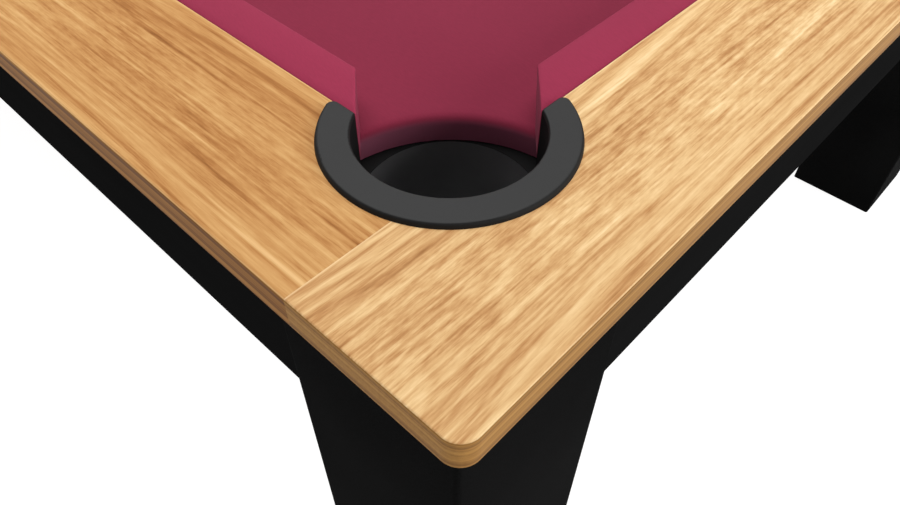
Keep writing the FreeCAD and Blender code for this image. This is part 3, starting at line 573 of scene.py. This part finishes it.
dress(slate(), in_slot["slate"])
timbers = in_slot["subrail_wood"] + in_slot["frame_timber"]
runs_along_x = [name for name in timbers if "near" in name or "far" in name]
runs_along_y = [name for name in timbers if name not in runs_along_x]
dress(softwood("softwood_along", "X", 2.3), runs_along_x)
dress(softwood("softwood_across", "Y", 8.8), runs_along_y)
zinc = plated_steel("zinc_plated_steel", (0.42, 0.43, 0.45, 1), (0.60, 0.61, 0.63, 1), 0.30)
blackened = plated_steel("blackened_steel", (0.020, 0.020, 0.021, 1), (0.045, 0.045, 0.047, 1), 0.42)
dress(zinc, in_slot["zinc_steel"])
dress(blackened, in_slot["black_steel"])

# %% [markdown]
# ## Crimson cloth
#
# Table cloth is worsted wool, woven close and shorn almost bare. From standing height it reads as one
# even colour with a soft bloom at grazing angles, which is what a sheen layer is for. Close to, there
# is a fine weave and a short nap that lies one way, so two noises are drawn out along the table. The
# cloth on the bed is painted a little darker than the cloth on the cushions, as painted shade. Where the
# bed cloth turns down into a pocket, it is paler and greyer from the turn downwards.

# %% The cloth finish
LIP_PALER_TONE = paint(156, 84, 107)


def wool(name, deep, bright, weave_turn, paler_from):
    """Worsted cloth. It turns paler below the height given as its last argument, which may lie below all of
    it.
    """
    cloth = Finish(name)
    place = cloth.place()
    turned = cloth.node("ShaderNodeMapping", {}, {"Vector": place, "Rotation": (0, 0, weave_turn)})
    nap = cloth.noise(cloth.stretched(turned, (160.0, 900.0, 900.0)), detail=2.0, roughness=0.6)
    cloudy = cloth.noise(cloth.stretched(turned, (5.0, 8.0, 8.0)), detail=3.0)
    parts = cloth.split(turned)
    warp = cloth.node("ShaderNodeMath", {"operation": "SINE"}, {0: parts["X"] * 7800.0})
    weft = cloth.node("ShaderNodeMath", {"operation": "SINE"}, {0: parts["Y"] * 7800.0})
    thread = warp * weft * 0.5 + 0.5
    tone = nap * 0.62 + cloudy * 0.28 + thread * 0.10
    # Below that height the colour is mixed towards a paler, greyer crimson.
    paler_below_turn = cloth.split(place)["Z"].step(paler_from, paler_from - 0.006)
    clean = cloth.ramp(tone, [(0.32, deep), (0.68, bright)])
    return cloth.surface(
        Base_Color=cloth.mix(paler_below_turn, clean, LIP_PALER_TONE),
        Roughness=0.86 + nap * 0.1,
        Specular_IOR_Level=0.2,
        Sheen_Weight=0.05,
        Sheen_Roughness=0.45,
        Sheen_Tint=(0.95, 0.55, 0.68, 1.0),
        Normal=cloth.bumps(nap * 0.6 + thread * 0.4, 0.00018, 0.5),
    )


# The bed's colours are darker than the cushions': painted shade for the shade that the cushions and rails
# throw over the bed.
bed_wool = wool("crimson_bed_cloth", paint(122, 33, 56), paint(132, 39, 63), 0.0, 0.7600)
cushion_wool = wool("crimson_cushion_cloth", paint(137, 38, 65), paint(146, 43, 71), 0.3, 0.0)

# %% [markdown]
# ## The bed cloth
#
# The bed cloth is one sheet, pulled tight over three slates and glued down their edges. It lies flat,
# so a cloth simulation would only give us back a plane. What shows that it is cloth is how it turns
# over the slate's rounded lip into each pocket. Every lip lies on an arc round a known centre, so one
# profile, from the flat of the bed over the turn and down, is swept along each pocket's arc, and the
# flat between them is filled in last. Along the straight edges the sheet turns down behind the rails.

# %% Read the bed's size
cloth_low, cloth_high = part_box("bed_cloth")
wood_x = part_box("top_rail_foot")[0].x
wood_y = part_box("top_rail_far_foot")[0].y
rail_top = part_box("top_rail_foot")[1].z
print("cloth from", round(cloth_low.z, 4), "to", round(cloth_high.z, 4), "m above the floor")

CORNER_LIP = 105 * MM
SIDE_LIP = 84 * MM
SIDE_CENTRE = 45 * MM
LIP_TURN = 7 * MM
FLAT_MARGIN = 6 * MM
TURN_STEPS = 6
ARC_STEPS = 40


# %% One lip profile, and the arcs that it is swept along
def lip_profile():
    """(distance back from the lip's face, height), from the flat of the bed down into the pocket."""
    profile = [(LIP_TURN + FLAT_MARGIN, cloth_high.z)]
    for step in range(TURN_STEPS + 1):
        turned = math.radians(90) * step / TURN_STEPS
        back = LIP_TURN * (1 - math.sin(turned))
        profile.append((back, cloth_high.z - LIP_TURN * (1 - math.cos(turned))))
    profile.append((0.0, cloth_low.z))
    return profile


def arc(centre, radius, start, end):
    """Points round a pocket's centre, from one angle to another."""
    angles = [start + (end - start) * step / ARC_STEPS for step in range(ARC_STEPS + 1)]
    return [
        (centre[0] + radius * math.cos(angle), centre[1] + radius * math.sin(angle))
        for angle in angles
    ]


def near_side_arc(back):
    radius = SIDE_LIP + back
    centre = (0.0, -(wood_y + SIDE_CENTRE))
    reach = math.asin((cloth_high.y + centre[1]) / radius)
    return arc(centre, radius, math.pi + reach, -reach)


def near_corner_arc(back):
    radius = CORNER_LIP + back
    to_side = math.asin((cloth_high.y - wood_y) / radius)
    to_end = math.acos((cloth_high.x - wood_x) / radius)
    return arc((wood_x, -wood_y), radius, math.pi + to_side, to_end)


def far_corner_arc(back):
    """The near corner's arc in a mirror, so it is walked the other way."""
    return [(x, -y) for x, y in reversed(near_corner_arc(back))]


# %% Sweep the lip round all six pockets
import bmesh

sheet_mesh = bmesh.new()
profile = lip_profile()
flat_outline = []
for half_turn in (1, -1):
    for pocket_arc in (near_side_arc, near_corner_arc, far_corner_arc):
        rings = []
        for back, height in profile:
            points = [(half_turn * x, half_turn * y, height) for x, y in pocket_arc(back)]
            rings.append([sheet_mesh.verts.new(point) for point in points])
        for upper, lower in zip(rings, rings[1:]):
            for left in range(ARC_STEPS):
                sheet_mesh.faces.new((upper[left], lower[left], lower[left + 1], upper[left + 1]))
        flat_outline.append(rings[0])
sheet_mesh.faces.new([corner for ring in flat_outline for corner in ring])

for ring, next_ring in zip(flat_outline, flat_outline[1:] + flat_outline[:1]):
    start, end = ring[-1], next_ring[0]
    start_below = sheet_mesh.verts.new((start.co.x, start.co.y, cloth_low.z))
    end_below = sheet_mesh.verts.new((end.co.x, end.co.y, cloth_low.z))
    sheet_mesh.faces.new((start, start_below, end_below, end))
print("faces in the bed sheet:", len(sheet_mesh.faces))


# %% Turn built points into a piece of the table
def piece_from(builder, name, finish, stands_for):
    """Makes an object from a bmesh, smooths it, and puts it where its hard part was."""
    bmesh.ops.recalc_face_normals(builder, faces=builder.faces)
    mesh = bpy.data.meshes.new(name)
    builder.to_mesh(mesh)
    builder.free()
    mesh.shade_smooth()
    mesh.set_sharp_from_angle(angle=math.radians(40))
    mesh.materials.append(finish)
    piece = bpy.data.objects.new(name, mesh)
    scene.collection.objects.link(piece)
    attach(piece, "table")
    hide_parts(stands_for)
    print("piece:", name, "with", len(mesh.polygons), "faces")
    return piece


bed_sheet = piece_from(sheet_mesh, "fitted_bed_sheet", bed_wool, "bed_cloth")

# %% [markdown]
# ## Covered cushions
#
# A cushion is a stiff rubber profile with cloth pulled over it, tucked into a groove along the oak, and
# folded round its two ends. It is as full and tight as a padded piece gets, so it keeps its moulded
# shape, and a simulation of soft stuffing would be wrong for it. We describe its section once, as pairs
# of depth from the oak and height, and run it along each rail. Each end is a plane that slants into the
# pocket, and a small roll on its edge comes from shrinking the section over the last few millimetres.
# The last stretch is the facing, a rubber block that reaches back to the oak and hides the wood behind
# the cushion, so there the section runs straight down at its back instead of over the wood's top.

# %% The cushion's section and its ends
CUSHION_DEPTH = 38 * MM
FACING = 3.6 * MM
FACING_STEP = 0.3 * MM
ROLL = 1.2 * MM
ROLL_STEPS = 4
NOSE_RADIUS = 2.6 * MM
NOSE_STEPS = 6


def cushion_section(at_facing):
    """(depth, height) pairs round the section, anticlockwise when depth runs to the right."""
    nose_middle = (CUSHION_DEPTH - NOSE_RADIUS, rail_top - 4.4 * MM)
    back_height = cloth_high.z + 1 * MM if at_facing else rail_top - 2.9 * MM
    section = [
        (0.2 * MM, back_height),
        (9.2 * MM, back_height),
        (13.0 * MM, cloth_high.z + 1 * MM),
        (18.0 * MM, cloth_high.z + 1 * MM),
    ]
    for step in range(NOSE_STEPS + 1):
        angle = math.radians(-35 + 118 * step / NOSE_STEPS)
        depth = nose_middle[0] + NOSE_RADIUS * math.cos(angle)
        section.append((depth, nose_middle[1] + NOSE_RADIUS * math.sin(angle)))
    section += [
        (24.0 * MM, rail_top - 0.9 * MM),
        (8.0 * MM, rail_top - 0.5 * MM),
        (1.6 * MM, rail_top - 0.6 * MM),
        (0.7 * MM, rail_top - 1.1 * MM),
        (0.2 * MM, rail_top - 2.2 * MM),
    ]
    return section


def shrunk(section, inset):
    """The section with every side moved in by that much."""
    moved = []
    for index, (depth, height) in enumerate(section):
        before, after = section[index - 1], section[(index + 1) % len(section)]
        along = Vector((after[0] - before[0], after[1] - before[1])).normalized()
        moved.append((depth - along.y * inset, height + along.x * inset))
    return moved


print("points in the cushion's section:", len(cushion_section(False)))


# %% Where each end of a cushion lies, at each depth
def corner_mouth(depth):
    """Distance from the oak's inner corner to the cushion's end."""
    return (84.3 + 43.0 * depth / CUSHION_DEPTH) * MM


def side_mouth(depth):
    """Distance from the middle of the table to the cushion's end."""
    return (60.8 + 5.0 * depth / CUSHION_DEPTH) * MM


def cushion(name, to_place, start_at, end_at, finish):
    """A cushion between two slanting ends. to_place turns (along, depth, height) into a point."""
    section, facing = cushion_section(False), cushion_section(True)
    inner = FACING + FACING_STEP
    builder = bmesh.new()
    loops = []
    turns = [math.radians(90) * step / ROLL_STEPS for step in range(ROLL_STEPS, -1, -1)]
    rolls = [(ROLL * (1 - math.cos(turned)), ROLL * (1 - math.sin(turned))) for turned in turns]
    for inset, back in rolls:
        loops.append([(start_at(depth) + back, depth, height) for depth, height in shrunk(facing, inset)])
    loops.append([(start_at(depth) + FACING, depth, height) for depth, height in facing])
    loops.append([(start_at(depth) + inner, depth, height) for depth, height in section])
    loops.append([(end_at(depth) - inner, depth, height) for depth, height in section])
    loops.append([(end_at(depth) - FACING, depth, height) for depth, height in facing])
    for inset, back in reversed(rolls):
        loops.append([(end_at(depth) - back, depth, height) for depth, height in shrunk(facing, inset)])
    built = [[builder.verts.new(to_place(*point)) for point in loop] for loop in loops]
    for one, other in zip(built, built[1:]):
        for index in range(len(section)):
            after = (index + 1) % len(section)
            builder.faces.new((one[index], one[after], other[after], other[index]))
    builder.faces.new(built[0])
    builder.faces.new(built[-1])
    hard_part = "cushion_" + name.removeprefix("covered_cushion_")
    return piece_from(builder, name, finish, hard_part)


# %% Six cushions
def ends_of_table(way):
    return lambda along, depth, height: (way * (wood_x - depth), along, height)


def sides_of_table(across, way):
    return lambda along, depth, height: (way * along, across * (wood_y - depth), height)


for end, way in (("foot", 1), ("head", -1)):
    made = cushion(
        "covered_cushion_" + end, ends_of_table(way),
        lambda depth: corner_mouth(depth) - wood_y, lambda depth: wood_y - corner_mouth(depth), cushion_wool,
    )
    for side, across in (("near", -1), ("far", 1)):
        made = cushion(
            "covered_cushion_" + side + "_" + end, sides_of_table(across, way),
            side_mouth, lambda depth: wood_x - corner_mouth(depth), cushion_wool,
        )
